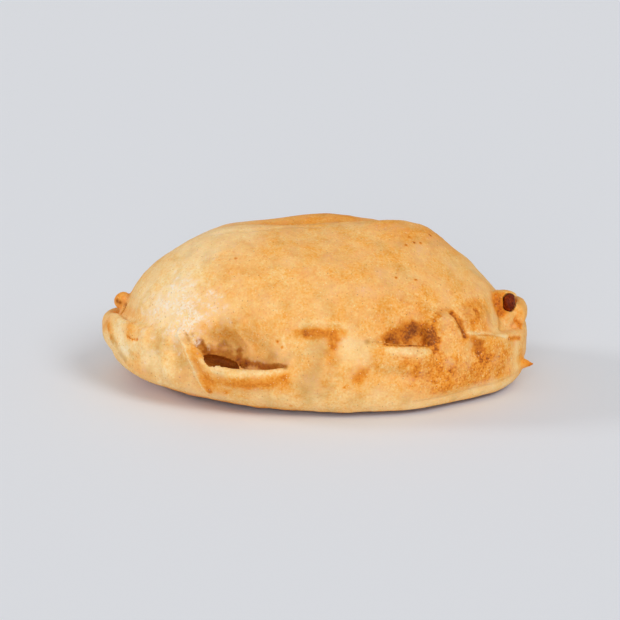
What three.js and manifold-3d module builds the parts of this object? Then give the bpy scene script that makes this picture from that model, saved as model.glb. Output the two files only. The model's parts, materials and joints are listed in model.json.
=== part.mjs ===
// A baked calzone: one closed pocket of dough with a puffed top, a flat underside and a crimped front edge,
// and the bead of filling that leaked out at the right-hand end of the crimp.
//
// Millimetres. +X runs along the pocket to its right-hand tip, -Y faces the crimped front, +Z is up.
// The finished group's origin is the middle of the underside. A place on the wall is given by its azimuth
// round the pocket in degrees (0 at the right tip, -90 at the front, 180 at the left tip) and by its height
// above the tray.

import * as THREE from "three";
import { mergeVertices } from "three/addons/utils/BufferGeometryUtils.js";
import Module from "manifold-3d";

// ---------------------------------------------------------------- driving dimensions

const HALF_LENGTH = 88; // centre to either tip of the pocket, without its crimp
const FRONT_DEPTH = 56.5; // centre to the crimped front
const BACK_DEPTH = 56; // centre to the folded back
const PLAN_POWER = 2.15; // 2 would make the plan an ellipse
const WIDEST_HEIGHT = 20; // height of the widest line
const TOP_HEIGHT = 69; // top of the plain dome, before its humps
const DOME_POWER = 2.1; // 2 would make the dome's section an ellipse
const UNDERSIDE_DROP = 1.2; // how far the round underside would reach below the tray if it weren't flattened
const UNDERSIDE_POWER = 3; // 2 would make the underside's section an ellipse
const SAGGED_TO = -32; // azimuth at which the pocket sagged widest onto the tray
const FOOT_MEAN = 0.71; // share of the plan's width at the foot, on average
const FOOT_SWING = 0.227; // how much more it is where the pocket sagged, and less on the other side
const LEAST_FOOT = 0.56;
// The edge of the underside is lifted off the tray: how high, and by what share the foot draws in under it.
const LIFTED_EDGE = { height: 2.6, share: 0.12, power: 1.3 };

// The crimp thickens the wall into one rounded rim, round the front from the left tip to the right tip.
const RIM = { azimuths: [-203, 24], fade: 22, height: 15, reach: 13, thickness: 3.4 };

const AROUND = 84; // columns of the pocket's mesh
const UPRIGHT = 32; // rows of it
const FLAP_STEP = 3.2; // degrees to a column of a flap's mesh
const FLAP_ROWS = 8;
const CLEARANCE = 0.3; // gap between the crust and the bead of filling

// Humps (height > 0) and hollows of the top: middle, reach along X and Y, height.
const HUMPS = [
  { name: "front ridge, right", x: 43, y: 3, alongX: 21, alongY: 17, height: 7.0 },
  { name: "back ridge", x: 6, y: 31, alongX: 34, alongY: 12, height: 4.2 },
  { name: "furrow between the ridges", x: -10, y: 12, alongX: 44, alongY: 6, height: -2.4 },
  { name: "notch beside the right shoulder", x: 60, y: 13, alongX: 5, alongY: 16, height: -1.4 },
  { name: "right shoulder", x: 78, y: 10, alongX: 13, alongY: 24, height: -2.8 },
  { name: "left shoulder", x: -45, y: 10, alongX: 24, alongY: 26, height: 4.2 },
];

// Places where the wall is pressed in: azimuth and height of the middle, reach round and up, depth. Where the
// depth is below zero, the wall bulges.
const HOLLOWS = [
  { name: "behind the left flap", azimuth: -122, height: 29, around: 14, up: 8, depth: 6.6 },
  { name: "behind the right flap", azimuth: -52, height: 35, around: 9, up: 7, depth: 4.4 },
  { name: "between dome and left tip", azimuth: -172, height: 34, around: 10, up: 5, depth: 2.6 },
  { name: "cup at the right tip", azimuth: -13, height: 35, around: 13, up: 7, depth: 2.0 },
  { name: "low at the front left", azimuth: -142, height: 4, around: 12, up: 9, depth: 1.4 },
  { name: "low at the front right", azimuth: -34, height: 4, around: 8, up: 9, depth: 1.8 },
  { name: "low bulge at the right tip", azimuth: -11, height: 7, around: 9, up: 9, depth: -3.4 },
];

// Flaps of the crimp, folded up over the wall. Each runs between two azimuths, and slant turns its ends at
// the foot. Places evenly along it give the height of its upper edge, the lip, and how far the lip stands off
// the dome. Swell is the share of its height over which it reaches its thickness, and blend is the share of
// its length over which each end sinks into the dough.
const FLAPS = [
  {
    name: "left end",
    azimuths: [-200, -142.5],
    slant: [0, 9],
    foot: 3,
    lip: [25, 27.6, 32.6, 34, 37],
    standOff: [0.6, 4.2, 0.8, -1.6, -3.0],
    thickness: 4.8,
    swell: 0.7,
    blend: [0.35, 0.03],
  },
  {
    name: "left flap",
    azimuths: [-148, -97],
    slant: [8, 0],
    foot: 1,
    lip: [39, 31, 24.2, 23, 22.9, 23.2, 24],
    standOff: [-2.6, -0.4, 1.0, 2.0, 1.6, 0.4, -1.4],
    thickness: 4.6,
    swell: 0.9,
    blend: [0.05, 0.25],
  },
  {
    name: "middle tab",
    azimuths: [-104, -76],
    slant: [-3, 3],
    foot: 3,
    lip: [39.0, 40.2, 40.6, 40.8, 40.2],
    standOff: [-3.2, -2.8, -2.5, -2.4, -2.6],
    thickness: 4.2,
    swell: 0.9,
    blend: [0.4, 0.15],
  },
  {
    name: "right flap",
    azimuths: [-84, -43],
    slant: [0, 4],
    foot: 1,
    lip: [40, 37, 33.6, 32.4, 29.5],
    standOff: [-4.2, -3.2, -0.8, 0.2, -0.4],
    thickness: 4.8,
    swell: 0.9,
    blend: [0.35, 0.1],
  },
  {
    name: "right tuck",
    azimuths: [-47.5, -30],
    slant: [1, 5],
    foot: 4,
    lip: [35, 40.5, 42.6, 41.8, 35.5],
    standOff: [-2.2, -2.0, -2.0, -2.2, -2.6],
    thickness: 4.8,
    swell: 0.8,
    blend: [0.15, 0.2],
  },
  {
    name: "right end",
    azimuths: [-36, 24],
    slant: [5, 0],
    foot: 1,
    lip: [35.5, 29.4, 27, 26.5, 23],
    standOff: [-2.2, -1.0, 0.3, 0.4, -2],
    thickness: 5.2,
    swell: 0.5,
    blend: [0.12, 0.4],
  },
  {
    name: "upright end",
    azimuths: [-9, 8],
    slant: [0, 0],
    foot: 16,
    lip: [38.0, 37.8, 37.0, 35.5, 31],
    standOff: [4.6, 4.9, 4.7, 3.8, 1.5],
    thickness: 3.0,
    swell: 0.85,
    blend: [0.06, 0.3],
  },
];

// Narrow slots left open behind two of the lips, described like flaps and cut.
const SLOTS = [
  {
    name: "left crease",
    azimuths: [-122, -100],
    slant: [0, 0],
    foot: 15,
    lip: [25, 25, 25, 25, 25],
    standOff: [-1.4, -0.8, -0.9, -1.2, -1.8],
    thickness: 1.8,
    swell: 0.2,
    blend: [0.3, 0.25],
  },
  {
    name: "right crease",
    azimuths: [-64, -45],
    slant: [0, 0],
    foot: 25,
    lip: [34.2, 34, 34, 33.6, 32],
    standOff: [-3.2, -2.8, -2.0, -1.6, -2.0],
    thickness: 1.9,
    swell: 0.2,
    blend: [0.25, 0.2],
  },
];

// Knobs and points where the crimp was pinched off: middle, half sizes, tilt about Y and taper towards +X.
const KNOBS = [
  { name: "left knob", x: -86.8, y: 5, z: 33.6, halfX: 3.8, halfY: 4.6, halfZ: 4.0, tilt: 20, taper: 0 },
  { name: "right knob", x: 79.6, y: -11, z: 38.2, halfX: 3.2, halfY: 5.0, halfZ: 5.2, tilt: -12, taper: 0 },
  { name: "ridge over bead", x: 83.4, y: -10.5, z: 41.5, halfX: 4.6, halfY: 3.2, halfZ: 1.5, tilt: 10, taper: 0 },
  { name: "seat of bead", x: 82.5, y: -13.5, z: 31.5, halfX: 4.5, halfY: 4.5, halfZ: 4.5, tilt: 0, taper: 0 },
  { name: "right point", x: 89.2, y: -18, z: 11.9, halfX: 6.4, halfY: 3.0, halfZ: 3.2, tilt: 4, taper: 0.65 },
];

// The open mouth behind the left flap, described like a knob and cut.
const MOUTHS = [
  { name: "left mouth", x: -40.2, y: -49, z: 22, halfX: 10, halfY: 6.4, halfZ: 3.3, tilt: 14, taper: 0 },
];

// The bead of leaked filling, tucked between the right knob and the upright end.
const BEAD = { x: 84.0, y: -13.0, z: 38.2, halfX: 2.8, halfY: 3.0, halfZ: 4.1, tilt: 6, taper: 0 };

const CRUST_LOOK = { color: 0xe0a864, roughness: 0.8, metalness: 0 };
const BEAD_LOOK = { color: 0x5e1c0a, roughness: 0.35, metalness: 0 };

// ---------------------------------------------------------------- the pocket's form

const { clamp, degToRad, lerp, radToDeg, smoothstep } = THREE.MathUtils;
const bell = (distance, reach) => Math.exp(-((distance / reach) ** 2));

// Shortest turn from one azimuth to another, in degrees.
const turn = (from, to) => ((((to - from) % 360) + 540) % 360) - 180;

// Distance from the centre to the widest line.
function planRadius(azimuth) {
  const c = Math.cos(degToRad(azimuth));
  const s = Math.sin(degToRad(azimuth));
  const depth = s < 0 ? FRONT_DEPTH : BACK_DEPTH;
  const sum = Math.abs(c / HALF_LENGTH) ** PLAN_POWER + Math.abs(s / depth) ** PLAN_POWER;
  return sum ** (-1 / PLAN_POWER);
}

// Share of the plan's radius that the pocket has at a height: a rounded dome above the widest line, and below
// it a curve that narrows to the foot at the tray, would close at the drop below it and draws in under the
// lifted edge.
function fullness(azimuth, height) {
  if (height > WIDEST_HEIGHT) {
    const up = Math.min(1, (height - WIDEST_HEIGHT) / (TOP_HEIGHT - WIDEST_HEIGHT));
    return (1 - up ** DOME_POWER) ** (1 / DOME_POWER);
  }
  const reach = WIDEST_HEIGHT + UNDERSIDE_DROP;
  const down = (WIDEST_HEIGHT - height) / reach;
  if (down >= 1) return 0;
  const foot = Math.max(LEAST_FOOT, FOOT_MEAN + FOOT_SWING * Math.cos(degToRad(azimuth - SAGGED_TO)));
  const rest = 1 - (WIDEST_HEIGHT / reach) ** UNDERSIDE_POWER;
  const under = foot ** (Math.log(1 - down ** UNDERSIDE_POWER) / Math.log(rest));
  const low = clamp(1 - height / LIFTED_EDGE.height, 0, 1) ** LIFTED_EDGE.power;
  return under * (1 - LIFTED_EDGE.share * low);
}

// The smooth wall at an azimuth and a height, moved out from it by a distance, level with the tray.
function wallPoint(azimuth, height, out = 0) {
  const radius = planRadius(azimuth) * fullness(azimuth, height);
  const x = radius * Math.cos(degToRad(azimuth));
  const y = radius * Math.sin(degToRad(azimuth));
  const depth = y < 0 ? FRONT_DEPTH : BACK_DEPTH;
  const outward = new THREE.Vector3(x / HALF_LENGTH ** 2, y / depth ** 2, 0).normalize();
  return new THREE.Vector3(x, y, height).addScaledVector(outward, out);
}

// How much the rounded rim of the crimp thickens the wall.
function rimThickness(azimuth, height) {
  const middle = (RIM.azimuths[0] + RIM.azimuths[1]) / 2;
  const inside = (RIM.azimuths[1] - RIM.azimuths[0]) / 2 - Math.abs(turn(middle, azimuth));
  return RIM.thickness * smoothstep(inside, 0, RIM.fade) * bell(height - RIM.height, RIM.reach);
}

// How deep the wall is pressed in.
function hollowDepth(azimuth, height) {
  let depth = 0;
  for (const hollow of HOLLOWS) {
    const around = bell(turn(hollow.azimuth, azimuth), hollow.around);
    depth += hollow.depth * around * bell(height - hollow.height, hollow.up);
  }
  return depth;
}

// How much the humps raise the top.
function humpHeight({ x, y }) {
  let raised = 0;
  for (const { x: middleX, y: middleY, alongX, alongY, height } of HUMPS)
    raised += height * bell(x - middleX, alongX) * bell(y - middleY, alongY);
  return raised;
}

// Slow unevenness of hand-shaped dough, a millimetre or so either way.
function unevenness({ x, y, z }) {
  const broad = 0.6 * Math.sin(x / 17 + 1.3) * Math.cos(y / 14 - 0.4);
  return broad + 0.4 * Math.sin(x / 9 + y / 12 + 2.1) * Math.cos(z / 8 + 0.6);
}

// A point of the pocket's skin. Rise is -90 degrees under the middle, 0 at the widest line and 90 on top.
function skinPoint(azimuth, rise) {
  const share = Math.abs(Math.sin(degToRad(rise)));
  const onTop = rise > 0;
  const height = onTop
    ? WIDEST_HEIGHT + (TOP_HEIGHT - WIDEST_HEIGHT) * share ** (2 / DOME_POWER)
    : WIDEST_HEIGHT - (WIDEST_HEIGHT + UNDERSIDE_DROP) * share;
  const roughly = unevenness(wallPoint(azimuth, height));
  const out = roughly * (1 - share) + rimThickness(azimuth, height) - hollowDepth(azimuth, height);
  const point = wallPoint(azimuth, height, out);
  if (onTop) point.z += humpHeight(point) + roughly * share;
  return point;
}

// ---------------------------------------------------------------- solids

const wasm = await Module();
wasm.setup();

// A closed geometry as a solid that can be joined and cut.
function solidOf(geometry) {
  geometry.deleteAttribute("normal");
  geometry.deleteAttribute("uv");
  const merged = mergeVertices(geometry, 1e-4);
  return new wasm.Manifold(
    new wasm.Mesh({
      numProp: 3,
      vertProperties: new Float32Array(merged.attributes.position.array),
      triVerts: new Uint32Array(merged.index.array),
    }),
  );
}

// A solid's skin as a geometry.
function geometryOf(solid) {
  const { vertProperties, triVerts } = solid.getMesh();
  const geometry = new THREE.BufferGeometry();
  geometry.setAttribute("position", new THREE.BufferAttribute(new Float32Array(vertProperties), 3));
  geometry.setIndex(new THREE.BufferAttribute(new Uint32Array(triVerts), 1));
  geometry.computeVertexNormals();
  return geometry;
}

// Moves every vertex of a geometry to the place that a function gives for it.
function reshape(geometry, place) {
  const position = geometry.getAttribute("position");
  for (let i = 0; i < position.count; i++) {
    const to = place(new THREE.Vector3().fromBufferAttribute(position, i));
    position.setXYZ(i, to.x, to.y, to.z);
  }
  return geometry;
}

function pocket() {
  return reshape(new THREE.SphereGeometry(1, AROUND, UPRIGHT), ({ x, y, z }) =>
    skinPoint(radToDeg(Math.atan2(-z, x)), radToDeg(Math.asin(clamp(y, -1, 1)))),
  );
}

// Value at a share of the way along a list of evenly spaced values, eased between them.
function along(values, share) {
  const place = clamp(share, 0, 1) * (values.length - 1);
  const index = Math.min(values.length - 2, Math.floor(place));
  return lerp(values[index], values[index + 1], smoothstep(place - index, 0, 1));
}

// A flap of dough. Its foot is buried in the wall, it swells as it goes up and leans off the wall towards
// its lip, which is rounded, and its ends sink into the wall.
function flap({ azimuths, slant, foot, lip, standOff, thickness, swell, blend }) {
  const columns = Math.round((azimuths[1] - azimuths[0]) / FLAP_STEP);
  return reshape(new THREE.BoxGeometry(1, 1, 1, columns, FLAP_ROWS, 1), ({ x, y, z }) => {
    const share = x + 0.5;
    const up = 1 - (0.5 - y) ** 1.7; // rows crowd towards the lip
    const azimuth = lerp(azimuths[0], azimuths[1], share) + lerp(slant[0], slant[1], share) * (1 - up);
    const lipHeight = along(lip, share);
    const height = lerp(foot, lipHeight, up);
    const intoLip = clamp((height - lipHeight) / (thickness / 2) + 1, 0, 1);
    const half = (thickness / 2) * Math.max(0.12, Math.sqrt(1 - intoLip ** 2));
    const sunk = 2 - smoothstep(share, 0, blend[0]) - smoothstep(1 - share, 0, blend[1]);
    const swollen = smoothstep(up, -0.05, swell);
    const middle = lerp(-thickness, along(standOff, share) + thickness / 2, swollen) - sunk * thickness;
    return wallPoint(azimuth, height, middle + 2 * z * half);
  });
}

// A knob of dough or filling, grown on all sides by a distance.
function knob({ x, y, z, halfX, halfY, halfZ, tilt, taper }, grow = 0) {
  const ball = reshape(new THREE.SphereGeometry(1, 14, 10), (p) =>
    new THREE.Vector3(p.x, p.y * (1 - taper * p.x), p.z * (1 - taper * p.x)),
  );
  return ball
    .scale(halfX + grow, halfY + grow, halfZ + grow)
    .rotateY(degToRad(tilt))
    .translate(x, y, z);
}

function crustSolid() {
  let solid = solidOf(pocket());
  for (const each of FLAPS) solid = solid.add(solidOf(flap(each)));
  for (const each of KNOBS) solid = solid.add(solidOf(knob(each)));
  for (const each of SLOTS) solid = solid.subtract(solidOf(flap(each)));
  for (const each of MOUTHS) solid = solid.subtract(solidOf(knob(each)));
  solid = solid.subtract(solidOf(knob(BEAD, CLEARANCE))).trimByPlane([0, 0, 1], 0);
  // Only the largest skin is kept, so a hollow that the flaps seal off is filled.
  return solid.decompose().reduce((largest, skin) => (skin.volume() > largest.volume() ? skin : largest));
}

// ---------------------------------------------------------------- the calzone

function named(name, solid, look) {
  const mesh = new THREE.Mesh(geometryOf(solid), new THREE.MeshStandardMaterial(look));
  mesh.name = name;
  return mesh;
}

const calzone = new THREE.Group();
calzone.add(named("crust", crustSolid(), CRUST_LOOK));
calzone.add(named("filling_bead", solidOf(knob(BEAD)), BEAD_LOOK));

// The middle of the underside's bounding box goes to the origin.
const box = new THREE.Box3().setFromObject(calzone);
const middle = box.getCenter(new THREE.Vector3());
for (const mesh of calzone.children) mesh.position.set(-middle.x, -middle.y, -box.min.z);

export default calzone;
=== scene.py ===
# %% [markdown]
# # A baked calzone
#
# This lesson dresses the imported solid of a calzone: a folded pocket of pizza dough with a puffed top and a
# crimped front edge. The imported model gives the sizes. Everything is in its frame: metres, +X to the
# right-hand tip, -Y to the crimped front, +Z up, and the surface it rests on at zero.

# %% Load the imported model
import json
import math

import bmesh
import bpy
import numpy as np
from mathutils import Matrix, Vector, noise
from mathutils.bvhtree import BVHTree

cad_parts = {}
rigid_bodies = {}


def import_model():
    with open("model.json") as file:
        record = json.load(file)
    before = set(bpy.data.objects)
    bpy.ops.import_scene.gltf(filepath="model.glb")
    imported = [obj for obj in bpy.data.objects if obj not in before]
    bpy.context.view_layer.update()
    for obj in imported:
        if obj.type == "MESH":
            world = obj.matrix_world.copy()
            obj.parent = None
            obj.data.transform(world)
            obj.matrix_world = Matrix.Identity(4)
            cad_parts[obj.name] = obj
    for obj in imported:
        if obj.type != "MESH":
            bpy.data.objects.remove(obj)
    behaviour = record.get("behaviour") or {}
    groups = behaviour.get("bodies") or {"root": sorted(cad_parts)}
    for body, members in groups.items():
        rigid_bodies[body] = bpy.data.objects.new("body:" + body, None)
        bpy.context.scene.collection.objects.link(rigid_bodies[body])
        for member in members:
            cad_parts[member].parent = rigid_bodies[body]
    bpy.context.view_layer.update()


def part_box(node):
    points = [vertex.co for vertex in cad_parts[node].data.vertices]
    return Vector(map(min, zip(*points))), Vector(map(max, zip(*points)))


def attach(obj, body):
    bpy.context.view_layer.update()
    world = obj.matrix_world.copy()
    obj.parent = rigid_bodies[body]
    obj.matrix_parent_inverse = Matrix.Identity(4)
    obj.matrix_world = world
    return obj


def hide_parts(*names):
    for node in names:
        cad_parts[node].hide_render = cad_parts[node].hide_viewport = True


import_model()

MM = 0.001

# %% [markdown]
# ## Where things are on the dough
#
# A cook would say "on the left, two fingers up", so a place is given in the same way: by its azimuth round
# the pocket in degrees (0 at the right tip, -90 at the front, 180 at the left tip) and its height in
# millimetres. The tables of the form are in millimetres round the pocket's own middle, and the last step
# moves them into the frame. The bead of filling is the landmark for that move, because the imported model
# knows where it is.

# %% The bead's place gives the move into the frame
BEAD = {"centre": (84.0, -13.0, 38.2), "half_size": (2.8, 3.0, 4.1), "tilt": 6}

bead_low, bead_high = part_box("filling_bead")
INTO_FRAME = (bead_low + bead_high) / 2 - Vector(BEAD["centre"]) * MM
print("the pocket's middle in the frame, mm:", [round(v / MM, 2) for v in INTO_FRAME])

# %% [markdown]
# ## The pocket
#
# The dough was folded over its filling and puffed in the oven, so it is close to a squashed globe: a plan a
# little squarer than an ellipse, a round dome over the widest line, and under it a curve that narrows to
# the foot. It sagged further on the front right. Two ridges, a furrow and a pair of shoulders make the top
# uneven.

# %% Driving sizes of the pocket, in millimetres
HALF_LENGTH = 88
FRONT_DEPTH, BACK_DEPTH = 56.5, 56
PLAN_POWER = 2.15
WIDEST_HEIGHT, TOP_HEIGHT = 20, 69
DOME_POWER = 2.1
UNDERSIDE_DROP, UNDERSIDE_POWER = 1.2, 3
SAGGED_TO, FOOT_MEAN, FOOT_SWING, LEAST_FOOT = -32, 0.71, 0.227, 0.56
LIFTED_EDGE = {"height": 2.6, "share": 0.12, "power": 1.3}
RIM = {"azimuths": (-203, 24), "fade": 22, "height": 15, "reach": 13, "thickness": 3.4}

# Humps of the top: middle x and y, reach along X and Y, height.
HUMPS = {
    "front ridge, right": (43, 3, 21, 17, 7.0),
    "back ridge": (6, 31, 34, 12, 4.2),
    "furrow between the ridges": (-10, 12, 44, 6, -2.4),
    "notch beside the right shoulder": (60, 13, 5, 16, -1.4),
    "right shoulder": (78, 10, 13, 24, -2.8),
    "left shoulder": (-45, 10, 24, 26, 4.2),
}
# Hollows of the wall: azimuth and height of the middle, reach round and up, depth (below 0 for a bulge).
HOLLOWS = {
    "behind the left flap": (-122, 29, 14, 8, 6.6),
    "behind the right flap": (-52, 35, 9, 7, 4.4),
    "between dome and left tip": (-172, 34, 10, 5, 2.6),
    "cup at the right tip": (-13, 35, 13, 7, 2.0),
    "low at the front left": (-142, 4, 12, 9, 1.4),
    "low at the front right": (-34, 4, 8, 9, 1.8),
    "low bulge at the right tip": (-11, 7, 9, 9, -3.4),
}

# %% Small helpers for smooth forms
def bell(distance, reach):
    """1 in the middle, falling softly to 0."""
    return np.exp(-((distance / reach) ** 2))


def ease(value, low, high):
    """0 below low, 1 above high and a smooth rise between them."""
    share = np.clip((value - low) / (high - low), 0, 1)
    return share * share * (3 - 2 * share)


def mix(a, b, share):
    return a + (b - a) * share


def turn(start, end):
    """Shortest turn from one azimuth to another, in degrees."""
    return (end - start + 180) % 360 - 180


def columns(x, y, z):
    return np.stack(np.broadcast_arrays(x, y, z), axis=-1)


# %% The smooth wall
def plan_radius(azimuth):
    c, s = np.cos(np.radians(azimuth)), np.sin(np.radians(azimuth))
    depth = np.where(s < 0, FRONT_DEPTH, BACK_DEPTH)
    return (np.abs(c / HALF_LENGTH) ** PLAN_POWER + np.abs(s / depth) ** PLAN_POWER) ** (-1 / PLAN_POWER)


def fullness(azimuth, height):
    """Share of the plan's radius that the pocket has at a height."""
    up = np.clip((height - WIDEST_HEIGHT) / (TOP_HEIGHT - WIDEST_HEIGHT), 0, 1)
    dome = (1 - up**DOME_POWER) ** (1 / DOME_POWER)
    reach = WIDEST_HEIGHT + UNDERSIDE_DROP
    down = np.clip((WIDEST_HEIGHT - height) / reach, 0, 1 - 1e-9)
    foot = np.maximum(LEAST_FOOT, FOOT_MEAN + FOOT_SWING * np.cos(np.radians(azimuth - SAGGED_TO)))
    rest = 1 - (WIDEST_HEIGHT / reach) ** UNDERSIDE_POWER
    under = foot ** (np.log(1 - down**UNDERSIDE_POWER) / np.log(rest))
    low = np.clip(1 - height / LIFTED_EDGE["height"], 0, 1) ** LIFTED_EDGE["power"]
    under = under * (1 - LIFTED_EDGE["share"] * low)
    return np.where(height > WIDEST_HEIGHT, dome, under)


def wall_point(azimuth, height, out=0.0):
    """The smooth wall, moved out from it by a distance, level with the tray."""
    radius = plan_radius(azimuth) * fullness(azimuth, height)
    x, y = radius * np.cos(np.radians(azimuth)), radius * np.sin(np.radians(azimuth))
    out_x, out_y = x / HALF_LENGTH**2, y / np.where(y < 0, FRONT_DEPTH, BACK_DEPTH) ** 2
    length = np.maximum(np.hypot(out_x, out_y), 1e-9)
    return columns(x + out * out_x / length, y + out * out_y / length, height)


# %% What the rim, the hollows and the humps add
def rim_thickness(azimuth, height):
    middle, half = sum(RIM["azimuths"]) / 2, (RIM["azimuths"][1] - RIM["azimuths"][0]) / 2
    inside = half - np.abs(turn(middle, azimuth))
    return RIM["thickness"] * ease(inside, 0, RIM["fade"]) * bell(height - RIM["height"], RIM["reach"])


def hollow_depth(azimuth, height):
    return sum(
        depth * bell(turn(middle, azimuth), around) * bell(height - level, up)
        for middle, level, around, up, depth in HOLLOWS.values()
    )


def hump_height(x, y):
    return sum(high * bell(x - mx, ax) * bell(y - my, ay) for mx, my, ax, ay, high in HUMPS.values())


def unevenness(point):
    """Slow unevenness of hand-shaped dough, a millimetre or so either way."""
    x, y, z = point.T
    broad = 0.6 * np.sin(x / 17 + 1.3) * np.cos(y / 14 - 0.4)
    return broad + 0.4 * np.sin(x / 9 + y / 12 + 2.1) * np.cos(z / 8 + 0.6)


def skin_point(azimuth, rise):
    """A point of the skin. Rise is -90 degrees under the middle, 0 at the widest line and 90 on top."""
    share = np.abs(np.sin(np.radians(rise)))
    above = WIDEST_HEIGHT + (TOP_HEIGHT - WIDEST_HEIGHT) * share ** (2 / DOME_POWER)
    height = np.where(rise > 0, above, WIDEST_HEIGHT - (WIDEST_HEIGHT + UNDERSIDE_DROP) * share)
    roughly = unevenness(wall_point(azimuth, height))
    out = roughly * (1 - share) + rim_thickness(azimuth, height) - hollow_depth(azimuth, height)
    point = wall_point(azimuth, height, out)
    point[:, 2] += np.where(rise > 0, hump_height(point[:, 0], point[:, 1]) + roughly * share, 0)
    return point


# %% A bmesh is shaped by moving the vertices of a sphere or a cube
def reshaped(bm, place, name):
    """Makes an object of a bmesh, with every vertex moved to where the function place puts it."""
    old = np.array([v.co for v in bm.verts])
    for vertex, to in zip(bm.verts, place(old)):
        vertex.co = to
    bmesh.ops.recalc_face_normals(bm, faces=bm.faces)
    mesh = bpy.data.meshes.new(name)
    bm.to_mesh(mesh)
    bm.free()
    made = bpy.data.objects.new(name, mesh)
    bpy.context.scene.collection.objects.link(made)
    return made


def pocket():
    bm = bmesh.new()
    bmesh.ops.create_uvsphere(bm, u_segments=288, v_segments=144, radius=1)

    def on_skin(p):
        azimuth = np.degrees(np.arctan2(p[:, 1], p[:, 0]))
        return skin_point(azimuth, np.degrees(np.arcsin(np.clip(p[:, 2], -1, 1))))

    return reshaped(bm, on_skin, "dough")


dough = pocket()
print("the pocket has", len(dough.data.vertices), "vertices")

# %% [markdown]
# ## The crimp
#
# The cook pulled the lower sheet of dough up over the edge and pressed it on, fold by fold. Each fold is a
# flap: a slab whose foot is buried in the wall, which swells as it goes up and leans off the wall towards
# its rounded lip. Behind the lips stay two creases and an open mouth. A cube with a fine grid on every side
# is bent into each flap and crease, a ball is stretched into each knob and the mouth, and Boolean modifiers
# join the ones and cut the others, as the cook's hands did.

# %% The flaps, from left to right
FLAPS = {
    "left end": dict(
        azimuths=(-200, -142.5), slant=(0, 9), foot=3, lip=(25, 27.6, 32.6, 34, 37),
        stand_off=(0.6, 4.2, 0.8, -1.6, -3.0), thickness=4.8, swell=0.7, blend=(0.35, 0.03),
    ),
    "left flap": dict(
        azimuths=(-148, -97), slant=(8, 0), foot=1, lip=(39, 31, 24.2, 23, 22.9, 23.2, 24),
        stand_off=(-2.6, -0.4, 1.0, 2.0, 1.6, 0.4, -1.4), thickness=4.6, swell=0.9, blend=(0.05, 0.25),
    ),
    "middle tab": dict(
        azimuths=(-104, -76), slant=(-3, 3), foot=3, lip=(39.0, 40.2, 40.6, 40.8, 40.2),
        stand_off=(-3.2, -2.8, -2.5, -2.4, -2.6), thickness=4.2, swell=0.9, blend=(0.4, 0.15),
    ),
    "right flap": dict(
        azimuths=(-84, -43), slant=(0, 4), foot=1, lip=(40, 37, 33.6, 32.4, 29.5),
        stand_off=(-4.2, -3.2, -0.8, 0.2, -0.4), thickness=4.8, swell=0.9, blend=(0.35, 0.1),
    ),
    "right tuck": dict(
        azimuths=(-47.5, -30), slant=(1, 5), foot=4, lip=(35, 40.5, 42.6, 41.8, 35.5),
        stand_off=(-2.2, -2.0, -2.0, -2.2, -2.6), thickness=4.8, swell=0.8, blend=(0.15, 0.2),
    ),
    "right end": dict(
        azimuths=(-36, 24), slant=(5, 0), foot=1, lip=(35.5, 29.4, 27, 26.5, 23),
        stand_off=(-2.2, -1.0, 0.3, 0.4, -2), thickness=5.2, swell=0.5, blend=(0.12, 0.4),
    ),
    "upright end": dict(
        azimuths=(-9, 8), slant=(0, 0), foot=16, lip=(38.0, 37.8, 37.0, 35.5, 31),
        stand_off=(4.6, 4.9, 4.7, 3.8, 1.5), thickness=3.0, swell=0.85, blend=(0.06, 0.3),
    ),
}
SLOTS = {
    "left crease": dict(
        azimuths=(-122, -100), slant=(0, 0), foot=15, lip=(25, 25, 25, 25, 25),
        stand_off=(-1.4, -0.8, -0.9, -1.2, -1.8), thickness=1.8, swell=0.2, blend=(0.3, 0.25),
    ),
    "right crease": dict(
        azimuths=(-64, -45), slant=(0, 0), foot=25, lip=(34.2, 34, 34, 33.6, 32),
        stand_off=(-3.2, -2.8, -2.0, -1.6, -2.0), thickness=1.9, swell=0.2, blend=(0.25, 0.2),
    ),
}
# Knobs where the crimp was pinched off: middle, half sizes, tilt about Y in degrees, taper towards +X.
KNOBS = {
    "left knob": ((-86.8, 5, 33.6), (3.8, 4.6, 4.0), 20, 0),
    "right knob": ((79.6, -11, 38.2), (3.2, 5.0, 5.2), -12, 0),
    "ridge over bead": ((83.4, -10.5, 41.5), (4.6, 3.2, 1.5), 10, 0),
    "seat of bead": ((82.5, -13.5, 31.5), (4.5, 4.5, 4.5), 0, 0),
    "right point": ((89.2, -18, 11.9), (6.4, 3.0, 3.2), 4, 0.65),
}
# The open mouth behind the left flap.
MOUTHS = {
    "left mouth": ((-40.2, -49.0, 22.0), (10.0, 6.4, 3.3), 14, 0.0),
}


# %% One function bends them all
def along(values, share):
    """Value at a share of the way along a list of evenly spaced values, eased between them."""
    values = np.array(values, float)
    place = np.clip(share, 0, 1) * (len(values) - 1)
    index = np.minimum(len(values) - 2, place.astype(int))
    return mix(values[index], values[index + 1], ease(place - index, 0, 1))


def flap_point(p, azimuths, slant, foot, lip, stand_off, thickness, swell, blend):
    share, up = p[:, 0] + 0.5, 1 - np.clip(0.5 - p[:, 1], 0, 1) ** 1.7
    azimuth = mix(*azimuths, share) + mix(*slant, share) * (1 - up)
    lip_height = along(lip, share)
    height = mix(foot, lip_height, up)
    into_lip = np.clip((height - lip_height) / (thickness / 2) + 1, 0, 1)
    half = thickness / 2 * np.maximum(0.12, np.sqrt(1 - into_lip**2))
    sunk = 2 - ease(share, 0, blend[0]) - ease(1 - share, 0, blend[1])
    swollen = ease(up, -0.05, swell)
    middle = mix(-thickness, along(stand_off, share) + thickness / 2, swollen) - sunk * thickness
    return wall_point(azimuth, height, middle + 2 * p[:, 2] * half)


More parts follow.
